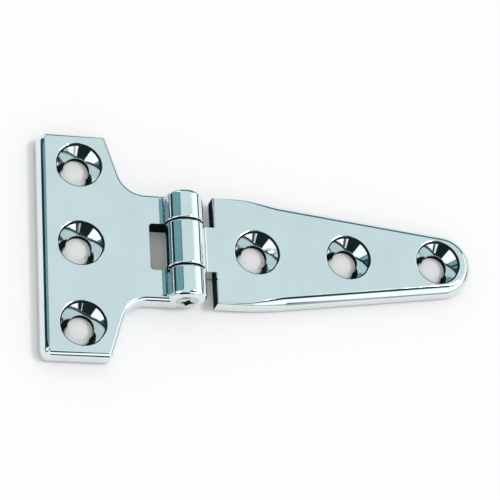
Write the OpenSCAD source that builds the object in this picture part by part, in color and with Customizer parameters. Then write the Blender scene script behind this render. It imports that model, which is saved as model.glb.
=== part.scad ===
// Cast T hinge: a T-shaped butt leaf, a tapered strap leaf and the pin that joins them.
// X runs from the butt leaf to the tip of the strap, Y along the pin, Z out of the mounting face.
// The origin is below the middle of the pin, on the mounting face.

/* [Leaves] */
// Thickness of both leaves
plate_t = 4.7; // [4:0.1:4.8]
// Width of the bevel along the outer edge of the butt leaf and the taper of the strap
bevel_w = 1.6; // [1:0.1:1.6]
// Width of the narrow bevel on the other edges of the butt leaf
slim_bevel_w = 0.8; // [0.8:0.05:0.95]
// Chamfer around the back of both leaves
back_ease = 0.6; // [0.2:0.1:0.8]

/* [Butt leaf] */
// Height of the butt leaf, along the pin
butt_h = 52.8; // [48:0.2:60]
// From the pin's centre line to the outer edge of the butt leaf
butt_reach = 32.4; // [31:0.2:38]
// Width of the butt leaf along its top and bottom edges
butt_head_w = 15.4; // [14:0.2:16]
// Height of the bevel along its outer edge, which is steeper than the others
outer_bevel_h = 2.2; // [1.2:0.1:2.6]
// Radius of the outer corners of the butt leaf
corner_r = 1.8; // [1.8:0.1:3]
// Radius of the corners nearer the barrel
inner_corner_r = 1; // [1:0.1:2]
// Slope of the edges that run in from the corners to the neck, in degrees
flare_angle = 17.5; // [12:0.5:20]
// Radius where those edges turn into the neck
neck_r = 6; // [4:0.5:7]
// From the pin's centre line to the far side of the relief for the middle knuckle
butt_relief = 7.9; // [7.4:0.1:9]
// Radius in the corners of that relief
relief_corner_r = 0.8; // [0.4:0.1:1.5]

/* [Strap leaf] */
// From the pin's centre line to the tip of the strap
strap_reach = 67.6; // [66:0.2:80]
// Radius of the strap's tip
tip_r = 7.3; // [7:0.1:9]
// Slope of each tapered edge, in degrees
taper_angle = 7.3; // [6.6:0.1:8]
// Radius where the parallel part turns into the taper
shoulder_r = 86; // [40:2:110]
// Width that the strap's bevel shrinks to beside the barrel
least_bevel_w = 0.35; // [0.2:0.05:0.5]
// From the pin's centre line to the far side of the reliefs for the outer knuckles
strap_relief = 7; // [6.8:0.1:8]

/* [Knuckles] */
// Radius of the barrel
barrel_r = 4.4; // [4.2:0.1:4.7]
// Height of the pin's centre line above the mounting face
axis_h = 4.9; // [4.8:0.1:5.2]
// Length of the whole barrel
barrel_l = 25.6; // [24:0.2:26.6]
// Length of the strap's middle knuckle
middle_l = 10.7; // [9:0.1:12]
// Gap between two knuckles
knuckle_gap = 0.2; // [0.1:0.05:0.4]
// Rounding at the two ends of the barrel
end_round = 1.3; // [0.4:0.1:1.5]
// Rounding of the knuckles where they meet
joint_round = 0.5; // [0.2:0.1:0.6]
// Fillet between the butt leaf and its knuckles
butt_fillet = 2; // [1.5:0.1:2.2]
// Fillet between the strap leaf and its knuckle
strap_fillet = 1; // [0.5:0.1:1.4]

/* [Pin] */
// Radius of the pin, and of the outer knuckles' bores that grip it
pin_r = 2.1; // [1.8:0.05:2.4]
// Radial clearance of the pin in the middle knuckle
pin_clearance = 0.05; // [0.03:0.01:0.1]
// How far each end of the pin stands out of the barrel
pin_proud = 0.3; // [0.1:0.05:0.5]
// How far the staked ends of the pin are spread
pin_spread = 0.4; // [0.2:0.05:0.6]
// Radius of the star-shaped stake mark
star_r = 1.8; // [1.4:0.05:1.9]
// Radius of the notches between its four points
star_waist_r = 0.9; // [0.6:0.05:1.1]
// Depth of the stake mark
star_depth = 0.7; // [0.3:0.1:1]

/* [Screw holes] */
// Radius of the screw holes
hole_r = 2.9; // [2.4:0.05:3]
// Radius of the countersinks at their mouth
sink_r = 5.05; // [4.8:0.05:5.2]
// Included angle of the countersinks
sink_angle = 82; // [80:1:90]
// Width of the eased rim around each countersink
rim_w = 0.35; // [0.1:0.05:0.4]
// Depth of that rim
rim_depth = 0.25; // [0.1:0.05:0.3]
// Straight step below the rim, before the cone begins
step_depth = 0.35; // [0.1:0.05:0.5]
// From the pin's centre line to the row of holes in the butt leaf
butt_row_x = 23.2; // [23:0.1:25]
// Spacing of the holes in the butt leaf
butt_spacing = 18.8; // [17:0.1:19.4]
// From the pin's centre line to the first hole in the strap
strap_row_x = 16.7; // [16:0.1:19]
// Spacing of the holes in the strap
strap_spacing = 21.3; // [20:0.1:21.6]
// Number of holes in each leaf
holes = 3; // [3]

/* [Hidden] */
$fn = 96;
lap = 0.5;
arc_steps = 12;
edge_steps = 5;
mitre_power = 5;
root_share = 0.4;
half_l = barrel_l / 2;
half_mid = middle_l / 2;
half_h = butt_h / 2;
tip_x = strap_reach - tip_r;
root_x = root_share * barrel_r;
slim = [slim_bevel_w, slim_bevel_w];

// Unit normal on the left of the way from p to q.
function left_normal(p, q) =
    let (d = [q.x - p.x, q.y - p.y])
    [-d.y, d.x] / norm(d);

// Points of an arc, each followed by the width and height of the bevel there.
// The bevel's [w, h] changes gently along the arc, or close to its end where the face is mitred.
function arc(c, r, from, to, bevel, end_bevel, steps = arc_steps, mitred = false) = [
    for (i = [0:steps])
        let (
            u = i / steps,
            a = from + (to - from) * u,
            share = mitred ? pow(u, mitre_power) : u * u * (3 - 2 * u)
        )
        concat([c.x + r * cos(a), c.y + r * sin(a)], bevel + (end_bevel - bevel) * share)
];

// An outline moved inwards by each point's own width, or by one width all round.
function inset(path, width = undef) = [
    for (i = [0:len(path) - 1])
        let (
            here = path[i],
            n1 = left_normal(path[(i + len(path) - 1) % len(path)], here),
            n2 = left_normal(here, path[(i + 1) % len(path)]),
            w = is_undef(width) ? here[2] : width
        )
        [here.x, here.y] + (n1 + n2) * w / (1 + n1 * n2)
];

// Closes an outline from its upper half, given from left to right, and its mirror image below.
function both_halves(upper) = concat(
    [for (p = upper) [p.x, -p.y, p[2], p[3]]],
    [for (i = [len(upper) - 1:-1:0]) if (upper[i].y > 0) upper[i]]
);

// Upper half of the butt leaf: outer corner, inner corner, flared edge, neck.
function butt_half() =
    let (
        f = flare_angle,
        corner_x = butt_head_w - butt_reach,
        outer = [corner_r - butt_reach, half_h - corner_r],
        inner = [corner_x - inner_corner_r * (1 - sin(f)) / cos(f), half_h - inner_corner_r],
        neck_y = half_l + neck_r,
        neck_x = corner_x + (neck_r + (half_h - neck_y) * sin(f)) / cos(f)
    )
    concat(
        arc(outer, corner_r, 180, 90, [bevel_w, outer_bevel_h], slim, mitred = true),
        arc(inner, inner_corner_r, 90, f, slim, slim, edge_steps),
        arc([neck_x, neck_y], neck_r, 180 + f, 270, slim, slim),
        [concat([-root_x, half_l], slim)]
    );

// Height above the centre line of a line along the taper, at a distance r from the tip's centre.
function taper_y(x, r) = r / cos(taper_angle) + (tip_x - x) * tan(taper_angle);

// Upper half of the strap leaf: parallel part, shoulder, taper, half of the tip.
// The bevel widens along the shoulder.
function strap_half() =
    let (
        full = [bevel_w, bevel_w],
        least = [least_bevel_w, least_bevel_w],
        corner_x = tip_x - (half_l - taper_y(tip_x, tip_r)) / tan(taper_angle),
        start_x = corner_x - shoulder_r * tan(taper_angle / 2),
        centre = [start_x, half_l - shoulder_r]
    )
    concat(
        [concat([strap_relief, half_l], least)],
        arc(centre, shoulder_r, 90, 90 - taper_angle, least, full),
        arc([tip_x, 0], tip_r, 90 - taper_angle, 0, full, full, 2 * arc_steps)
    );

// Closed solid through rings of points that lie one above the other.
// Each ring mirrors itself about Y = 0, so its caps are strips between the two halves.
module loft(rings) {
    n = len(rings[0]);
    last = (len(rings) - 1) * n;
    sides = [
        for (k = [0:len(rings) - 2])
            for (i = [0:n - 1])
                let (a = k * n + i, b = k * n + (i + 1) % n)
                each [[a, a + n, b + n], [a, b + n, b]]
    ];
    strips = [
        for (i = [0:ceil(n / 2) - 2])
            let (j = n - 1 - i)
            i + 1 == j - 1 ? [i, i + 1, j] : [i, i + 1, j - 1, j]
    ];
    lid = [for (strip = strips) [for (i = [len(strip) - 1:-1:0]) last + strip[i]]];
    polyhedron([for (ring = rings) each ring], concat(strips, sides, lid), convexity = 6);
}

// Flat leaf with a bevelled front edge and an eased back edge.
module plate(outline) {
    loft([
        [for (p = inset(outline, back_ease)) [p.x, p.y, 0]],
        [for (p = outline) [p.x, p.y, back_ease]],
        [for (p = outline) [p.x, p.y, plate_t - p[3]]],
        [for (p = inset(outline)) [p.x, p.y, plate_t]]
    ]);
}

// Length of barrel from y0 to y1, with a rounding r0 or r1 at each end.
module knuckle(y0, y1, r0, r1) {
    steps = [for (i = [0:edge_steps]) 90 * i / edge_steps];
    low = [for (a = steps) [barrel_r - r0 + r0 * sin(a), r0 - r0 * cos(a)]];
    high = [for (a = steps) [barrel_r - r1 + r1 * cos(a), y1 - y0 - r1 + r1 * sin(a)]];
    translate([0, y0, axis_h])
        rotate([-90, 0, 0])
            rotate_extrude()
                polygon(concat([[0, 0]], low, high, [[0, y1 - y0]]));
}

// Concave fillet of radius r from the face up to the barrel, on the +X side.
module barrel_fillet(y0, y1, r) {
    centre_z = plate_t + r;
    centre_x = sqrt(pow(barrel_r + r, 2) - pow(centre_z - axis_h, 2));
    end_a = 180 + atan((centre_z - axis_h) / centre_x);
    curve = [
        for (i = [0:arc_steps])
            let (a = 270 + (end_a - 270) * i / arc_steps)
            [centre_x + r * cos(a), centre_z + r * sin(a)]
    ];
    core = [[barrel_r / 2, axis_h + r / 2], [barrel_r / 2, plate_t - lap], [centre_x, plate_t - lap]];
    translate([0, y1, 0])
        rotate([90, 0, 0])
            linear_extrude(y1 - y0)
                polygon(concat(curve, core));
}

// Part of the strap leaf that reaches under its knuckle, between the two reliefs.
module web() {
    end_x = strap_relief + back_ease + lap;
    profile = [[root_x + back_ease, 0], [end_x, 0], [end_x, plate_t], [root_x, plate_t], [root_x, back_ease]];
    translate([0, half_mid, 0])
        rotate([90, 0, 0])
            linear_extrude(middle_l)
                polygon(profile);
}

// Screw hole cut down from the face: eased rim, short step, countersink and bore.
module screw_hole() {
    cone_h = (sink_r - hole_r) / tan(sink_angle / 2);
    mouth_r = sink_r + rim_w;
    step_z = plate_t - rim_depth - step_depth;
    translate([0, 0, -lap])
        cylinder(h = plate_t + 2 * lap, r = hole_r);
    translate([0, 0, step_z - cone_h])
        cylinder(h = cone_h, r1 = hole_r, r2 = sink_r);
    translate([0, 0, step_z])
        cylinder(h = step_depth, r = sink_r);
    translate([0, 0, plate_t - rim_depth])
        cylinder(h = rim_depth, r1 = sink_r, r2 = mouth_r);
    translate([0, 0, plate_t])
        cylinder(h = lap, r = mouth_r);
}

// Straight bore along the barrel's centre line.
module axis_bore(y0, y1, r) {
    translate([0, y0, axis_h])
        rotate([-90, 0, 0])
            cylinder(h = y1 - y0, r = r);
}

// Pocket through the butt leaf that the middle knuckle turns in, rounded at its far corners.
module butt_pocket() {
    w = half_mid + knuckle_gap;
    c = relief_corner_r;
    far = -butt_relief + c;
    profile = concat(
        [[barrel_r + lap, -w], [barrel_r + lap, w]],
        [for (a = [90:15:180]) [far + c * cos(a), w - c + c * sin(a)]],
        [for (a = [180:15:270]) [far + c * cos(a), -w + c + c * sin(a)]]
    );
    translate([0, 0, -lap])
        linear_extrude(axis_h + barrel_r + 2 * lap)
            polygon(profile);
}

// One staked end of the pin, from inside the knuckle out along +Z.
module staked_end() {
    spread_r = pin_r + pin_spread;
    translate([0, 0, -pin_spread])
        cylinder(h = pin_spread, r1 = pin_r, r2 = spread_r);
    cylinder(h = pin_proud, r1 = spread_r, r2 = spread_r - pin_proud);
}

// Four-pointed mark that the staking punch leaves.
module stake_mark() {
    translate([0, 0, pin_proud - star_depth])
        linear_extrude(star_depth + lap)
            polygon([for (i = [0:7]) (i % 2 == 0 ? star_r : star_waist_r) * [cos(45 * i), sin(45 * i)]]);
}

// Puts its children at both ends of the barrel, pointing outwards.
module at_both_ends() {
    for (side = [-1, 1])
        translate([0, side * half_l, axis_h])
            rotate([-90 * side, 0, 0])
                children();
}

module butt_leaf() {
    inner = half_mid + knuckle_gap;
    outer = half_l - end_round;
    color("lightsteelblue")
        difference() {
            union() {
                plate(both_halves(butt_half()));
                knuckle(inner, half_l, joint_round, end_round);
                knuckle(-half_l, -inner, end_round, joint_round);
                mirror([1, 0, 0])
                    barrel_fillet(inner, outer, butt_fillet);
                mirror([1, 0, 0])
                    barrel_fillet(-outer, -inner, butt_fillet);
            }
            butt_pocket();
            axis_bore(-half_l - lap, half_l + lap, pin_r);
            at_both_ends()
                translate([0, 0, -pin_spread])
                    cylinder(h = pin_spread, r1 = pin_r, r2 = pin_r + pin_spread);
            for (i = [0:holes - 1])
                translate([-butt_row_x, (i - (holes - 1) / 2) * butt_spacing, 0])
                    screw_hole();
        }
}

module strap_leaf() {
    color("lightblue")
        difference() {
            union() {
                plate(both_halves(strap_half()));
                web();
                knuckle(-half_mid, half_mid, joint_round, joint_round);
                barrel_fillet(-half_mid, half_mid, strap_fillet);
            }
            axis_bore(-half_mid - lap, half_mid + lap, pin_r + pin_clearance);
            for (i = [0:holes - 1])
                translate([strap_row_x + i * strap_spacing, 0, 0])
                    screw_hole();
        }
}

module hinge_pin() {
    color("slategray")
        difference() {
            union() {
                axis_bore(-half_l + pin_spread, half_l - pin_spread, pin_r);
                at_both_ends()
                    staked_end();
            }
            at_both_ends()
                stake_mark();
        }
}

butt_leaf();
strap_leaf();
hinge_pin();
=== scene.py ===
import math

import bpy
from mathutils import Matrix, Vector


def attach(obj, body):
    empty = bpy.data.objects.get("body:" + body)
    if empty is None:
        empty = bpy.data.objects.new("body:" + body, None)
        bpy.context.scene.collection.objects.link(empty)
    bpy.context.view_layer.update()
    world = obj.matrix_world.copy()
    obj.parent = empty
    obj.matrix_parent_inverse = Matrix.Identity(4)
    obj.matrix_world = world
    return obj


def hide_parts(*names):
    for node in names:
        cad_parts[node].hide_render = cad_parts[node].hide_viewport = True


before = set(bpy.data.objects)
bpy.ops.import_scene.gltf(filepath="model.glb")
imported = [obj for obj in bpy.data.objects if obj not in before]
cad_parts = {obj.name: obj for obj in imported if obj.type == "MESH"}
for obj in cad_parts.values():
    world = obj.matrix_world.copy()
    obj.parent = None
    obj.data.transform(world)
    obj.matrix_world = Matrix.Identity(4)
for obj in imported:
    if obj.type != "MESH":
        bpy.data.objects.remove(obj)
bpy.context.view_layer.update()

MM = 0.001

# ---------------------------------------------------------------- sizes, in mm, most of them as in the CAD
PLATE_T = 4.7
BEVEL_W = 1.6
OUTER_BEVEL_H = 2.2
SLIM_BEVEL_W = 0.8
LEAST_BEVEL_W = 0.35
BACK_EASE = 0.6
BUTT_HALF_H = 26.4
BUTT_REACH = 32.4
BUTT_HEAD_W = 15.4
CORNER_R = 1.8
INNER_CORNER_R = 1.0
FLARE = math.radians(17.5)
NECK_R = 6.0
BUTT_RELIEF = 7.9
RELIEF_CORNER_R = 0.8
STRAP_REACH = 67.6
TIP_R = 7.3
TAPER = math.radians(7.3)
SHOULDER_R = 86.0
STRAP_RELIEF = 7.0
BARREL_R = 4.4
AXIS_H = 4.9
HALF_L = 12.8
HALF_MID = 5.35
KNUCKLE_GAP = 0.2
END_ROUND = 1.3
JOINT_ROUND = 0.5
BUTT_FILLET = 2.0
STRAP_FILLET = 1.0
PIN_R = 2.1
PIN_CLEARANCE = 0.05
PIN_PROUD = 0.3
PIN_SPREAD = 0.4
STAR_R = 1.8
STAR_WAIST = 0.5
STAR_DEPTH = 0.7
STAR_FLOOR = 0.55
HOLE_R = 2.9
SINK_R = 5.05
SINK_ANGLE = math.radians(82)
STEP_DEPTH = 0.35
LIP_R = 0.4
BUTT_ROW_X = -23.2
BUTT_SPACING = 18.8
STRAP_ROW_X = 16.7
STRAP_SPACING = 21.3
ROOT_X = 0.4 * BARREL_R
TIP_X = STRAP_REACH - TIP_R
MITRE_POWER = 5
BUTT_HOLES = [(BUTT_ROW_X, i * BUTT_SPACING) for i in (-1, 0, 1)]
STRAP_HOLES = [(STRAP_ROW_X + i * STRAP_SPACING, 0) for i in range(3)]

# ---------------------------------------------------------------- finer shape, in mm
# Share of a bevel's width and height at which its crown turns, counted from the leaf's side.
BULGE = 0.42
# Reach of the roundings. The first three are shares of the bevel's width, at its foot, its crown and its
# top edge; then come the most that the third may be, and the reach at the back.
LOW_EASED = 0.2
CROWN_EASED = 0.3
TOP_EASED = 0.38
MOST_EASED = 0.5
BACK_EASED = 0.25
# Overlap of pieces that are joined or cut.
LAP = 1.0
# Room that an outline leaves inside itself where it has no tight corner, and the most at a tight one.
ROOMY = 99.0
TIGHT = 2.0
# Small gaps that keep neighbouring points and faces apart.
APART = 0.05
CLOSE = 0.01
# Faces of joined pieces that would lie in one plane are this far apart instead.
STAGGER = 0.004
# A hole's chamfer at the back, the rounding under its countersink, the ring inside its rim that is painted
# dark as shade and the height at the top of its lip that is left without painted shade; then how far round
# the lip's section goes, in degrees.
BORE_EASE = 0.15
BORE_ROUND = 0.12
RING_W = 0.15
UNSHADED_LIP = 0.1
LIP_SWEEP = 86
# Roundings of the pin's end, and how far the strap's web reaches into its plate.
SPREAD_ROUND = 0.05
PIN_ROUND = 0.2
WEB_REACH = 0.5
# Steepness that makes a face a wall or a knuckle's end, as parts of its normal, and how near a wall is
# to the reliefs and the bores it belongs to, for picking the faces that are painted dark as shade.
WALL = 0.3
FACING_END = 0.7
NEAR_RELIEF = 0.9
NEAR_SHOULDER = 0.4
NEAR_BORE = 0.1
# Segments of the barrel and of smaller round shapes.
BARREL_STEPS = 160
ROUND_STEPS = 96
# Edges that turn by more than this, in degrees, stay sharp.
SHARP_ANGLE = 26

# ---------------------------------------------------------------- finishes
# The back and the edge around it, up to this height in mm, are rougher than the front and painted darker, a
# painted shade line where the walls meet the floor.
DULL_SHADE_HEIGHT = 0.5
BACK_FADE = 0.1
BACK_ROUGH = 0.5
BACK_PAINTED_SHADE = 0.38
# Fineness of the cloudiness and of the grain, and the grain's depth in mm.
CLOUD_SCALE = 160.0
GRAIN_SCALE = 2600.0
GRAIN_DEPTH = 0.02
# Base colour, colour in the duller patches, lowest and highest roughness and strength of the grain.
CHROME = ((0.80, 0.86, 0.87), (0.75, 0.82, 0.83), (0.05, 0.11), 0.1)
# The second is a near-black, shineless non-metal, painted on as shade in reliefs, knuckle joints, the pin's
# marks and the holes.
PAINTED_SHADE_BLACK = ((0.020, 0.032, 0.035), (0.008, 0.014, 0.016), (0.45, 0.60), 0.6)
TURNED_STEEL = ((0.62, 0.66, 0.67), (0.55, 0.60, 0.61), (0.22, 0.34), 0.5)
FLOOR_SIZE = 3.0
FLOOR_COLOUR = (0.90, 0.90, 0.90)
FLOOR_GLOW = 0.04
FLOOR_ROUGH = 0.9

# ---------------------------------------------------------------- camera, in mm and degrees
CAMERA_AT = (-125.9, -210.3, 482.8)
CAMERA_AIM = (15.01, 0.45, 4.7)
CAMERA_ROLL = 3.36
CAMERA_LENS = 175.2
NEAREST_SEEN = 0.01

# ---------------------------------------------------------------- surroundings
# Height above the horizon as a share of a right angle, and the brightness there.
SKY = [(0.0, (1.25, 1.27, 1.28, 1)), (0.42, (1.15, 1.2, 1.2, 1)),
       (0.55, (0.70, 0.82, 0.84, 1)), (1.0, (0.74, 0.85, 0.86, 1))]
# Direction, half width, lowest and highest point in degrees, and the colours of its middle and border.
PANELS = [
    (72, 34, 3, 40, (0.10, 0.24, 0.27, 1), (0.06, 0.16, 0.18, 1)),
    (153, 26, -6, 54, (0.18, 0.37, 0.41, 1), (0.01, 0.03, 0.04, 1)),
    (253, 26, 3, 40, (0.01, 0.02, 0.02, 1), (0.01, 0.02, 0.02, 1)),
    (153, 30, -6, 6.5, (0.01, 0.03, 0.04, 1), (0.01, 0.03, 0.04, 1)),
    (157, 4, -6, 14, (0.01, 0.02, 0.02, 1), (0.01, 0.02, 0.02, 1)),
    (289, 8, 1, 16, (0.01, 0.02, 0.02, 1), (0.01, 0.02, 0.02, 1)),
    (312, 30, 44, 74, (0.02, 0.04, 0.05, 1), (0.02, 0.04, 0.05, 1)),
    (90, 100, -4, 9, (0.02, 0.04, 0.05, 1), (0.02, 0.04, 0.05, 1)),
    (240, 51, -4, 9, (0.02, 0.04, 0.05, 1), (0.02, 0.04, 0.05, 1)),
    (320, 30, -4, 5, (0.35, 0.38, 0.39, 1), (0.35, 0.38, 0.39, 1)),
]
PANEL_BORDER = math.radians(2.5)
PANEL_FADE = 0.012
BACKDROP = (0.95, 0.95, 0.95, 1)
SOFT_LIGHT = (0.80, 0.80, 0.80, 1)
# Lamp on the strap's side: where it is, in degrees, how wide it looks from the part, and its power.
LAMP_TURN = 0.0
LAMP_HEIGHT = 60.0
LAMP_WIDTH = 14.0
LAMP_POWER = 0.9


def mm(*values):
    return Vector(values) * MM


def looking(at, aim, roll=0.0):
    """Placement of a camera or a light at one point that looks at another."""
    back = (at - aim).normalized()
    right = Vector((0, 1, 0)).cross(back).normalized()
    up = back.cross(right)
    turn = Matrix((right, up, back)).transposed().to_4x4()
    return Matrix.Translation(at) @ turn @ Matrix.Rotation(math.radians(roll), 4, "Z")


def add_camera():
    data = bpy.data.cameras.new("camera")
    data.lens = CAMERA_LENS
    data.clip_start = NEAREST_SEEN
    camera = bpy.data.objects.new("camera", data)
    bpy.context.collection.objects.link(camera)
    camera.matrix_world = looking(mm(*CAMERA_AT), mm(*CAMERA_AIM), -CAMERA_ROLL)
    bpy.context.scene.camera = camera


# ---------------------------------------------------------------- outlines
OUTER_BEVEL = Vector((BEVEL_W, OUTER_BEVEL_H))
FULL_BEVEL = Vector((BEVEL_W, BEVEL_W))
SLIM_BEVEL = Vector((SLIM_BEVEL_W, SLIM_BEVEL_W))
LEAST_BEVEL = Vector((LEAST_BEVEL_W, LEAST_BEVEL_W))


class Point:
    """A point of a leaf's outline, the bevel's width and height there and how far inwards an edge may go."""

    def __init__(self, x, y, bevel, room=ROOMY):
        self.x, self.y, self.room = x, y, room
        self.bevel, self.drop = bevel


def arc(cx, cy, r, start, end, bevels, steps, room=ROOMY, mitred=False):
    """Points of an arc. The bevel's size changes gently along it, or near its end at a mitred corner."""
    points = []
    for i in range(steps + 1):
        u = i / steps
        a = start + (end - start) * u
        bevel = bevels[0].lerp(bevels[1], u ** MITRE_POWER if mitred else u * u * (3 - 2 * u))
        points.append(Point(cx + r * math.cos(a), cy + r * math.sin(a), bevel, room))
    return points


def butt_half():
    """Upper half of the butt leaf's outline, from its outer edge to the barrel."""
    slim = (SLIM_BEVEL, SLIM_BEVEL)
    quarter = math.pi / 2
    corner_x = BUTT_HEAD_W - BUTT_REACH
    inner_x = corner_x - INNER_CORNER_R * (1 - math.sin(FLARE)) / math.cos(FLARE)
    root_y = HALF_L - STAGGER
    neck_y = root_y + NECK_R
    neck_x = corner_x + (NECK_R + (BUTT_HALF_H - neck_y) * math.sin(FLARE)) / math.cos(FLARE)
    points = [Point(-BUTT_REACH, BUTT_HALF_H - 2 * CORNER_R, OUTER_BEVEL)]
    points += arc(CORNER_R - BUTT_REACH, BUTT_HALF_H - CORNER_R, CORNER_R, math.pi, quarter,
                  (OUTER_BEVEL, SLIM_BEVEL), 14, CORNER_R, mitred=True)
    points += [Point(2 * CORNER_R - BUTT_REACH, BUTT_HALF_H, SLIM_BEVEL)]
    points += arc(inner_x, BUTT_HALF_H - INNER_CORNER_R, INNER_CORNER_R, quarter, FLARE, slim, 8,
                  INNER_CORNER_R)
    points += arc(neck_x, neck_y, NECK_R, math.pi + FLARE, 3 * quarter, slim, 20)
    return points + [Point(-ROOT_X, root_y, SLIM_BEVEL)]


def taper_y(x, r):
    """Height above the centre line of a line along the taper, at a distance r from the tip's centre."""
    return r / math.cos(TAPER) + (TIP_X - x) * math.tan(TAPER)


def strap_half():
    """Upper half of the strap leaf's outline, from the reliefs to the tip."""
    quarter = math.pi / 2
    corner_x = TIP_X - (HALF_L - taper_y(TIP_X, TIP_R)) / math.tan(TAPER)
    start_x = corner_x - SHOULDER_R * math.tan(TAPER / 2)
    points = [Point(STRAP_RELIEF, HALF_L, LEAST_BEVEL)]
    points += arc(start_x, HALF_L - SHOULDER_R, SHOULDER_R, quarter, quarter - TAPER,
                  (LEAST_BEVEL, FULL_BEVEL), 16)
    return points + arc(TIP_X, 0, TIP_R, quarter - TAPER, 0, (FULL_BEVEL, FULL_BEVEL), 32)


def both_halves(upper):
    """Closes an outline, anticlockwise, from its upper half and its mirror image below."""
    lower = [Point(p.x, -p.y, (p.bevel, p.drop), p.room) for p in upper]
    return lower + [p for p in reversed(upper) if p.y > 1e-9]


def inward(points):
    """For each point, the step inwards that keeps an inset outline parallel to the first."""
    steps = []
    for i, p in enumerate(points):
        q, r = points[i - 1], points[(i + 1) % len(points)]
        n1 = Vector((q.y - p.y, p.x - q.x)).normalized()
        n2 = Vector((p.y - r.y, r.x - p.x)).normalized()
        steps.append((n1 + n2) / (1 + n1.dot(n2)))
    return steps


def rounded(corners, steps=5):
    """A line with its corners rounded. Each corner is (across, up, distance that the rounding takes)."""
    line = []
    for i, (x, z, reach) in enumerate(corners):
        here = Vector((x, z))
        if reach <= 0:
            line.append(here)
            continue
        before = (Vector(corners[i - 1][:2]) - here).normalized() * reach
        after = (Vector(corners[i + 1][:2]) - here).normalized() * reach
        for k in range(steps + 1):
            u = k / steps
            line.append(here + before * (1 - u) ** 2 + after * u ** 2)
    return line


# ---------------------------------------------------------------- solids
def new_object(name, vertices, faces):
    mesh = bpy.data.meshes.new(name)
    mesh.from_pydata([tuple(c * MM for c in v) for v in vertices], [], faces)
    mesh.validate()
    obj = bpy.data.objects.new(name, mesh)
    bpy.context.collection.objects.link(obj)
    return obj


def skin(name, rings):
    """Solid through closed rings of points, one after the other, with a flat cap at each end."""
    n = len(rings[0])
    faces = []
    for k in range(len(rings) - 1):
        for i in range(n):
            a, b = k * n + i, k * n + (i + 1) % n
            faces.append((a, b, b + n, a + n))
    faces.append(tuple(reversed(range(n))))
    faces.append(tuple(range((len(rings) - 1) * n, len(rings) * n)))
    return new_object(name, [v for ring in rings for v in ring], faces)


def plate(name, outline):
    """Flat leaf with a slightly crowned bevel around its front and a rounded back edge."""
    steps = inward(outline)
    sections = []
    for p in outline:
        top = min(TOP_EASED * p.bevel, MOST_EASED, p.room - p.bevel - APART)
        sections.append(rounded([
            (BACK_EASE + LAP if p.room > TIGHT else p.room - 2 * CLOSE, 0, 0),
            (BACK_EASE, 0, BACK_EASED),
            (0, BACK_EASE, BACK_EASED),
            (0, PLATE_T - p.drop, LOW_EASED * p.bevel),
            (BULGE * p.bevel, PLATE_T - BULGE * p.drop, CROWN_EASED * p.bevel),
            (p.bevel, PLATE_T, top),
            (p.bevel + top + CLOSE, PLATE_T, 0),
        ]))
    rings = []
    for k in range(1, len(sections[0]) - 1):
        rings.append([(p.x + s.x * line[k].x, p.y + s.y * line[k].x, line[k].y)
                      for p, s, line in zip(outline, steps, sections)])
    return skin(name, rings)


def revolve(name, profile, place, segments=ROUND_STEPS):
    """Solid of revolution about the local Z axis. The profile is (radius, height), from low to high."""
    rings = []
    for r, z in profile:
        rings.append([tuple(place @ Vector((r * math.cos(a), r * math.sin(a), z)))
                      for a in (2 * math.pi * i / segments for i in range(segments))])
    return skin(name, rings)


def prism(name, profile, y0, y1):
    """Prism along Y through points (x, z) given anticlockwise as seen from the -Y side."""
    return skin(name, [[(x, y1, z) for x, z in profile], [(x, y0, z) for x, z in profile]])


def along_y(y=0.0):
    """Turns local Z to +Y, on the pin's centre line."""
    return Matrix.Translation((0, y, AXIS_H)) @ Matrix.Rotation(-math.pi / 2, 4, "X")


def combine(obj, tools, operation):
    """Joins or cuts with the tools, which are then removed."""
    for tool in tools:
        change = obj.modifiers.new("change", "BOOLEAN")
        change.operation = operation
        change.solver = "EXACT"
        change.object = tool
    bpy.context.view_layer.update()
    graph = bpy.context.evaluated_depsgraph_get()
    mesh = bpy.data.meshes.new_from_object(obj.evaluated_get(graph))
    obj.modifiers.clear()
    obj.data = mesh
    for tool in tools:
        bpy.data.objects.remove(tool)
    return obj


def knuckle(name, y0, y1, r0, r1):
    """Length of barrel with a rounding at each end."""
    low = [(BARREL_R - r0 + r0 * math.sin(a), r0 - r0 * math.cos(a)) for a in angles(0, 90, 8)]
    high = [(BARREL_R - r1 + r1 * math.cos(a), y1 - y0 - r1 + r1 * math.sin(a)) for a in angles(0, 90, 8)]
    return revolve(name, low + high, along_y(y0), BARREL_STEPS)


def angles(start, end, steps):
    return [math.radians(start + (end - start) * i / steps) for i in range(steps + 1)]


def fillet(name, y0, y1, r, side):
    """Concave fillet of radius r from a leaf's face up to the barrel, on the side given by a sign."""
    cz = PLATE_T + r
    cx = math.sqrt((BARREL_R + r) ** 2 - (cz - AXIS_H) ** 2)
    top = 180 + math.degrees(math.atan((cz - AXIS_H) / cx))
    curve = [(cx + r * math.cos(a), cz + r * math.sin(a)) for a in angles(270, top, 14)]
    core = [(BARREL_R / 2, AXIS_H + r / 2), (BARREL_R / 2, PLATE_T - LAP), (cx, PLATE_T - LAP)]
    profile = [(side * x, z) for x, z in curve + core]
    return prism(name, profile if side > 0 else profile[::-1], y0, y1)


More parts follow.
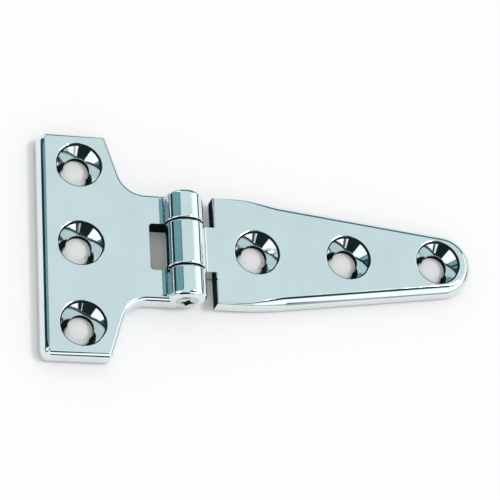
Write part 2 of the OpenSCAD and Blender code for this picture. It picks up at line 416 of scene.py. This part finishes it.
def screw_hole(x, y):
    """Cutter for one screw hole: bore, countersink, short step and rounded lip."""
    cone_h = (SINK_R - HOLE_R) / math.tan(SINK_ANGLE / 2)
    step_z = PLATE_T - LIP_R - STEP_DEPTH + RING_W
    wide, out = HOLE_R + BORE_EASE, SINK_R + LIP_R
    back = [(wide, -LAP), (wide, 0), (HOLE_R, BORE_EASE)]
    wall = rounded([(HOLE_R, BORE_EASE, 0), (HOLE_R, step_z - cone_h, BORE_ROUND), (SINK_R, step_z, 0)])[1:]
    rim = 1 - RING_W / (SINK_R - HOLE_R)
    wall.insert(-1, Vector((HOLE_R, step_z - cone_h)).lerp(wall[-1], rim))
    lip = [(out - LIP_R * math.cos(a), PLATE_T - LIP_R + LIP_R * math.sin(a))
           for a in angles(0, LIP_SWEEP, 8)]
    rise = [(out, PLATE_T + 0.3 * CLOSE), (out, PLATE_T + LAP)]
    profile = back + [tuple(p) for p in wall] + lip + rise
    return revolve("hole", profile, Matrix.Translation((x, y, 0)))


def bore(y0, y1, r):
    return revolve("bore", [(r, 0), (r, y1 - y0)], along_y(y0))


def pin_seat():
    """Cutter for the bore that grips the pin, with a flared mouth at each end of the barrel."""
    flare = PIN_R + PIN_SPREAD + CLOSE
    half = [(PIN_R + CLOSE, HALF_L - PIN_SPREAD), (flare, HALF_L), (flare, HALF_L + LAP)]
    profile = [(r, -z) for r, z in reversed(half)] + half
    return revolve("pin_seat", profile, along_y())


def pocket():
    """Cutter for the opening that the middle knuckle turns in."""
    w, c = HALF_MID + KNUCKLE_GAP - STAGGER, RELIEF_CORNER_R
    far = c - BUTT_RELIEF
    outline = [(BARREL_R + LAP, -w), (BARREL_R + LAP, w)]
    outline += [(far + c * math.cos(a), w - c + c * math.sin(a)) for a in angles(90, 180, 6)]
    outline += [(far + c * math.cos(a), c - w + c * math.sin(a)) for a in angles(180, 270, 6)]
    return skin("pocket", [[(x, y, z) for x, y in outline] for z in (-LAP, 2 * AXIS_H + LAP)])


def stake_mark(side):
    """Cutter for the four-pointed punch mark in one end of the pin. It narrows towards its floor."""
    place = Matrix.Translation((0, side * HALF_L, AXIS_H)) @ Matrix.Rotation(-side * math.pi / 2, 4, "X")
    above = 1.0 + (1.0 - STAR_FLOOR) * LAP / STAR_DEPTH
    rings = []
    for share, z in ((STAR_FLOOR, PIN_PROUD - STAR_DEPTH), (above, PIN_PROUD + LAP)):
        ring = []
        for i in range(8):
            a = math.pi * i / 4
            r = share * STAR_R * (1.0 if i % 2 == 0 else STAR_WAIST)
            ring.append(tuple(place @ Vector((r * math.cos(a), r * math.sin(a), z))))
        rings.append(ring)
    return skin("mark", rings)


def make_butt():
    inner = HALF_MID + KNUCKLE_GAP
    outer = HALF_L - END_ROUND
    body = plate("butt_casting", both_halves(butt_half()))
    combine(body, [
        knuckle("knuckle", inner, HALF_L, JOINT_ROUND, END_ROUND),
        knuckle("knuckle", -HALF_L, -inner, END_ROUND, JOINT_ROUND),
        fillet("fillet", inner + STAGGER, outer, BUTT_FILLET, -1),
        fillet("fillet", -outer, -inner - STAGGER, BUTT_FILLET, -1),
    ], "UNION")
    holes = [screw_hole(x, y) for x, y in BUTT_HOLES]
    return combine(body, [*holes, pocket(), pin_seat()], "DIFFERENCE")


def make_strap():
    body = plate("strap_casting", both_halves(strap_half()))
    web_x = STRAP_RELIEF + BACK_EASE + WEB_REACH
    web = [(ROOT_X + BACK_EASE, 0), (web_x, 0), (web_x, PLATE_T), (ROOT_X, PLATE_T), (ROOT_X, BACK_EASE)]
    combine(body, [
        prism("web", web, STAGGER - HALF_MID, HALF_MID - STAGGER),
        knuckle("knuckle", -HALF_MID, HALF_MID, JOINT_ROUND, JOINT_ROUND),
        fillet("fillet", 2 * STAGGER - HALF_MID, HALF_MID - 2 * STAGGER, STRAP_FILLET, 1),
    ], "UNION")
    cutters = [bore(-HALF_MID - LAP, HALF_MID + LAP, PIN_R + PIN_CLEARANCE)]
    cutters += [screw_hole(x, y) for x, y in STRAP_HOLES]
    return combine(body, cutters, "DIFFERENCE")


def make_pin():
    end = HALF_L + PIN_PROUD
    spread = PIN_R + PIN_SPREAD
    half = rounded([(PIN_R, 0, 0), (PIN_R, HALF_L - PIN_SPREAD, 0), (spread, HALF_L, SPREAD_ROUND),
                    (spread - PIN_PROUD, end, PIN_ROUND), (0.5 * spread, end, 0)], 4)
    profile = [(p.x, -p.y) for p in reversed(half[1:])] + [(p.x, p.y) for p in half[1:]]
    pin = revolve("pin", profile, along_y() @ Matrix.Rotation(math.pi / ROUND_STEPS, 4, "Z"))
    return combine(pin, [stake_mark(-1), stake_mark(1)], "DIFFERENCE")


def gets_painted_shade(centre, normal):
    """Whether a spot, in mm, is in a relief, a knuckle joint, a mark or a hole, where dark paint stands in
    for shade.
    """
    x, y, z = centre
    from_pin = math.hypot(x, z - AXIS_H)
    pin_end = HALF_L + PIN_PROUD
    wall = abs(normal.z) < WALL
    if abs(normal.y) > FACING_END and from_pin < BARREL_R and abs(y) < HALF_L - LAP:
        return True
    if from_pin < STAR_R and pin_end - STAR_DEPTH - CLOSE < abs(y) < pin_end - CLOSE:
        return True
    if wall and z < PLATE_T and BARREL_R + APART < from_pin < BUTT_RELIEF + NEAR_RELIEF:
        if x < 0:
            return abs(y) < HALF_MID + KNUCKLE_GAP + APART
        return abs(x - STRAP_RELIEF) < NEAR_SHOULDER
    for hole_x, hole_y in BUTT_HOLES + STRAP_HOLES:
        from_hole = math.hypot(x - hole_x, y - hole_y)
        if wall and abs(from_hole - HOLE_R) < NEAR_BORE:
            return True
        on_rim = SINK_R - RING_W < from_hole < SINK_R + 0.5 * LIP_R
        if on_rim and STEP_DEPTH < z < PLATE_T - UNSHADED_LIP:
            return True
    return False


def finish_piece(obj, node, body, materials):
    """Shades a piece, gives it its own material and a dark one painted on as shade in its recesses, and lets
    it stand for its CAD node.
    """
    mesh = obj.data
    mesh.materials.clear()
    for material in materials:
        mesh.materials.append(material)
    for face in mesh.polygons:
        # Faces in reliefs, knuckle joints, the pin's marks and the holes take the second material, painted
        # shade.
        face.material_index = int(gets_painted_shade(face.center / MM, face.normal))
    mesh.polygons.foreach_set("use_smooth", [True] * len(mesh.polygons))
    mesh.set_sharp_from_angle(angle=math.radians(SHARP_ANGLE))
    even = obj.modifiers.new("even", "WEIGHTED_NORMAL")
    even.keep_sharp = True
    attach(obj, body)
    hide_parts(node)


# ---------------------------------------------------------------- materials
class Nodes:
    """Small helper that adds and links the nodes of one tree."""

    def __init__(self, tree):
        self.tree = tree
        tree.nodes.clear()

    def add(self, kind, inputs=None, **settings):
        node = self.tree.nodes.new(kind)
        for key, value in settings.items():
            setattr(node, key, value)
        for key, value in (inputs or {}).items():
            socket = node.inputs[key]
            if isinstance(value, bpy.types.NodeSocket):
                self.tree.links.new(value, socket)
            else:
                socket.default_value = value
        return node

    def math(self, operation, *values):
        node = self.add("ShaderNodeMath", dict(enumerate(values)), operation=operation)
        return node.outputs["Value"]

    def step(self, value, edge, soft=PANEL_FADE):
        """One where the value is below the edge, nought above it."""
        low = {"Value": value, "From Min": edge - soft, "From Max": edge + soft, "To Min": 1.0, "To Max": 0.0}
        node = self.add("ShaderNodeMapRange", low, interpolation_type="SMOOTHSTEP")
        return node.outputs["Result"]

    def blend(self, factor, first, second):
        node = self.add("ShaderNodeMix", data_type="RGBA")
        for index, value in ((0, factor), (6, first), (7, second)):
            if isinstance(value, bpy.types.NodeSocket):
                self.tree.links.new(value, node.inputs[index])
            else:
                node.inputs[index].default_value = value
        return node.outputs[2]

    def ramp(self, factor, stops):
        node = self.add("ShaderNodeValToRGB", {"Fac": factor})
        elements = node.color_ramp.elements
        while len(elements) < len(stops):
            elements.new(0.5)
        for element, (place, colour) in zip(elements, stops):
            element.position = place
            element.color = colour
        return node


def grey(value):
    return (value, value, value, 1.0)


def metal(name, base, dull, rough, bump, metallic=1.0):
    """Metal, or a near-black non-metal painted on as shade, with fine grain and faint cloudiness, rougher on
    its back and painted darker near it as a shade line.
    """
    material = bpy.data.materials.new(name)
    material.use_nodes = True
    n = Nodes(material.node_tree)
    place = n.add("ShaderNodeTexCoord").outputs["Object"]
    cloud = n.add("ShaderNodeTexNoise", {"Vector": place, "Scale": CLOUD_SCALE, "Detail": 4.0})
    grain = n.add("ShaderNodeTexNoise", {"Vector": place, "Scale": GRAIN_SCALE, "Detail": 3.0})
    tint = n.ramp(cloud.outputs["Fac"], [(0.3, (*dull, 1)), (0.7, (*base, 1))])
    gloss = n.ramp(cloud.outputs["Fac"], [(0.3, grey(rough[0])), (0.75, grey(rough[1]))])
    height = n.add("ShaderNodeSeparateXYZ", {"Vector": place}).outputs["Z"]
    # Near the back the colour is painted darker, a painted shade line at the foot of the walls; the roughness
    # rises there too.
    back = n.step(height, DULL_SHADE_HEIGHT * MM, BACK_FADE * MM)
    colour = n.blend(back, tint.outputs["Color"], (*(BACK_PAINTED_SHADE * c for c in dull), 1))
    gloss = n.blend(back, gloss.outputs["Color"], grey(BACK_ROUGH))
    relief = n.add(
        "ShaderNodeBump",
        {"Height": grain.outputs["Fac"], "Strength": bump, "Distance": GRAIN_DEPTH * MM},
    )
    shader = n.add(
        "ShaderNodeBsdfPrincipled",
        {
            "Base Color": colour,
            "Metallic": metallic,
            "Specular IOR Level": 0.5 if metallic else 0.0,
            "Roughness": gloss,
            "Normal": relief.outputs["Normal"],
        },
    )
    n.add("ShaderNodeOutputMaterial", {"Surface": shader.outputs["BSDF"]})
    return material


def painted(name, colour, glow):
    material = bpy.data.materials.new(name)
    material.use_nodes = True
    n = Nodes(material.node_tree)
    shader = n.add("ShaderNodeBsdfPrincipled", {
        "Base Color": (*colour, 1), "Roughness": FLOOR_ROUGH,
        "Emission Color": (*colour, 1), "Emission Strength": glow})
    n.add("ShaderNodeOutputMaterial", {"Surface": shader.outputs["BSDF"]})
    return material


# ---------------------------------------------------------------- stage and light
def add_floor():
    bpy.ops.mesh.primitive_plane_add(size=FLOOR_SIZE, location=(0, 0, 0))
    floor = bpy.context.object
    floor.name = "floor"
    floor.data.materials.append(painted("floor_paint", FLOOR_COLOUR, FLOOR_GLOW))


def add_lamp():
    data = bpy.data.lights.new("lamp", "SUN")
    data.energy = LAMP_POWER
    data.angle = math.radians(LAMP_WIDTH)
    lamp = bpy.data.objects.new("lamp", data)
    bpy.context.collection.objects.link(lamp)
    away, up = math.radians(LAMP_TURN), math.radians(LAMP_HEIGHT)
    at = Vector((math.cos(away) * math.cos(up), math.sin(away) * math.cos(up), math.sin(up)))
    lamp.matrix_world = looking(at, Vector((0, 0, 0)))


def add_world():
    """Bright surroundings with panels for the metal to reflect. Light on dull surfaces stays even."""
    world = bpy.data.worlds.new("studio")
    bpy.context.scene.world = world
    world.use_nodes = True
    n = Nodes(world.node_tree)
    way = n.add("ShaderNodeTexCoord").outputs["Generated"]
    xyz = n.add("ShaderNodeSeparateXYZ", {"Vector": way})
    azimuth = n.math("ARCTAN2", xyz.outputs["Y"], xyz.outputs["X"])
    height = n.math("ARCSINE", xyz.outputs["Z"])
    colour = n.ramp(n.math("MULTIPLY", height, 2 / math.pi), SKY).outputs["Color"]
    for centre, half_w, low, high, shade, edge_shade in PANELS:
        turn = n.math("WRAP", n.math("SUBTRACT", azimuth, math.radians(centre)), math.pi, -math.pi)
        aside = n.math("SUBTRACT", n.math("ABSOLUTE", turn), math.radians(half_w))
        middle, reach = math.radians((low + high) / 2), math.radians((high - low) / 2)
        above = n.math("SUBTRACT", n.math("ABSOLUTE", n.math("SUBTRACT", height, middle)), reach)
        outside = n.math("MAXIMUM", aside, above)
        colour = n.blend(n.step(outside, 0.0), colour, edge_shade)
        colour = n.blend(n.step(outside, -PANEL_BORDER), colour, shade)
    rays = n.add("ShaderNodeLightPath").outputs
    colour = n.blend(rays["Is Diffuse Ray"], colour, SOFT_LIGHT)
    colour = n.blend(rays["Is Camera Ray"], colour, BACKDROP)
    back = n.add("ShaderNodeBackground", {"Color": colour, "Strength": 1.0})
    n.add("ShaderNodeOutputWorld", {"Surface": back.outputs["Background"]})


add_camera()
chrome = metal("polished_chrome", *CHROME)
# Near-black material painted on as shade in the pieces' recesses, joints and holes.
shade_black = metal("painted_dark_shade", *PAINTED_SHADE_BLACK, metallic=0.0)
steel = metal("turned_steel", *TURNED_STEEL)
finish_piece(make_butt(), "butt_leaf", "butt", [chrome, shade_black])
finish_piece(make_strap(), "strap_leaf", "strap", [chrome, shade_black])
finish_piece(make_pin(), "hinge_pin", "butt", [steel, shade_black])
add_floor()
add_lamp()
add_world()

bpy.context.scene.view_settings.view_transform = "Standard"
